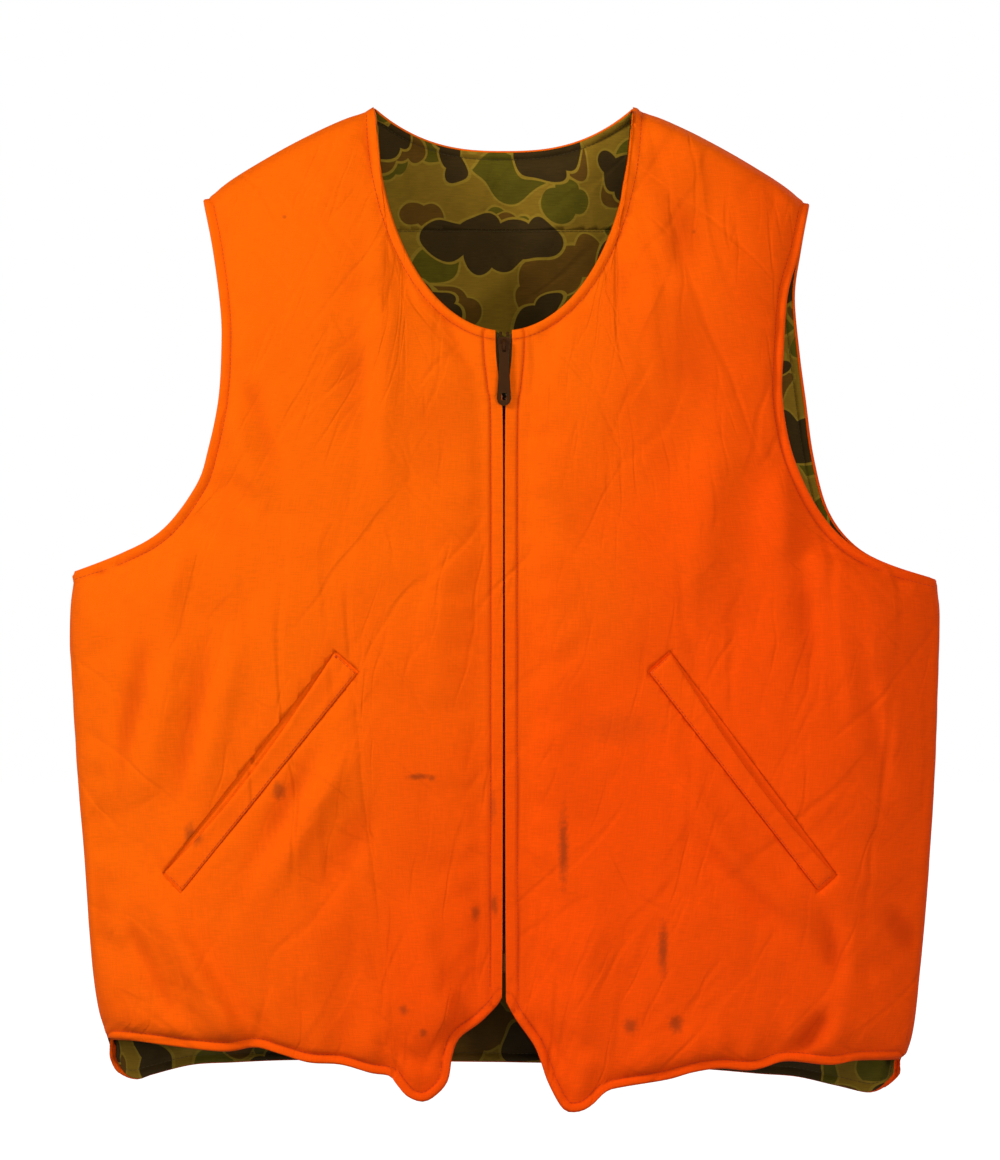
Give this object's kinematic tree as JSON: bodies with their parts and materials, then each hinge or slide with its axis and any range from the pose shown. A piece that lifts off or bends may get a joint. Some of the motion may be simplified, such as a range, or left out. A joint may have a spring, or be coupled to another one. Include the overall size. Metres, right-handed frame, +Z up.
{
  "type": "insulated hunting vest",
  "caption": "Reversible insulated vest, blaze orange outside and camouflage inside, with a round neck, separating front zip, slanted welt pockets and pointed front hems, hung by its shoulders",
  "frame": {"origin": "midway between the two neck points of the shoulder line, at their height, where the stem of a hanger stands", "axes": "+Z up, -Y is the front, +X is the wearer's left"},
  "size_m": [0.615, 0.1006, 0.7005],
  "materials": {
    "shell_orange": "plain-weave cotton blend, blaze orange, washed and slightly soiled",
    "lining_camo": "plain-weave cotton printed with lobed camouflage in khaki, olive and brown",
    "padding": "polyester wadding",
    "pocketing": "plain cotton pocketing",
    "zip_tape": "woven olive-brown tape",
    "zip_teeth": "dark brown moulded teeth",
    "zip_metal": "olive-brown enamel over die-cast zinc, worn at the edges"
  },
  "bodies": {
    "garment": {"back_shell": "shell_orange", "back_fill": "padding", "back_lining_lower": "lining_camo", "back_lining_yoke": "lining_camo", "right_front_side_shell": "shell_orange", "right_front_side_fill": "padding", "right_front_side_lining": "lining_camo", "left_front_side_shell": "shell_orange", "left_front_side_fill": "padding", "left_front_side_lining": "lining_camo", "right_pocket_welt": "shell_orange", "left_pocket_welt": "shell_orange", "right_pocket_bag": "pocketing", "left_pocket_bag": "pocketing"},
    "right_front": {"right_front_centre_shell": "shell_orange", "right_front_centre_fill": "padding", "right_front_centre_lining": "lining_camo", "right_zip_tape": "zip_tape", "right_zip_teeth": "zip_teeth", "right_top_stop": "zip_metal", "retainer_box": "zip_metal"},
    "left_front": {"left_front_centre_shell": "shell_orange", "left_front_centre_fill": "padding", "left_front_centre_lining": "lining_camo", "left_zip_tape": "zip_tape", "left_zip_teeth": "zip_teeth", "left_top_stop": "zip_metal", "insertion_pin": "zip_metal"},
    "slider": {"slider_body": "zip_metal", "slider_bridge": "zip_metal"},
    "puller": {"zip_puller": "zip_metal"}
  },
  "joints": [
    {"name": "right_front_swing", "type": "hinge", "parent": "garment", "child": "right_front", "pos_m": [-0.075, -0.0502, -0.38], "axis": [0, 0, -1], "range_deg": [0, 110]},
    {"name": "left_front_swing", "type": "hinge", "parent": "garment", "child": "left_front", "pos_m": [0.075, -0.0502, -0.38], "axis": [0, 0, 1], "range_deg": [0, 110], "deforming": ["left_zip_tape", "left_zip_teeth", "insertion_pin"]},
    {"name": "zip_slide", "type": "slide", "parent": "right_front", "child": "slider", "axis": [0, 0, -1], "range_m": [0, 0.418]},
    {"name": "puller_swing", "type": "hinge", "parent": "slider", "child": "puller", "pos_m": [0, -0.0518, -0.16775], "axis": [-1, 0, 0], "range_deg": [0, 150]}
  ]
}
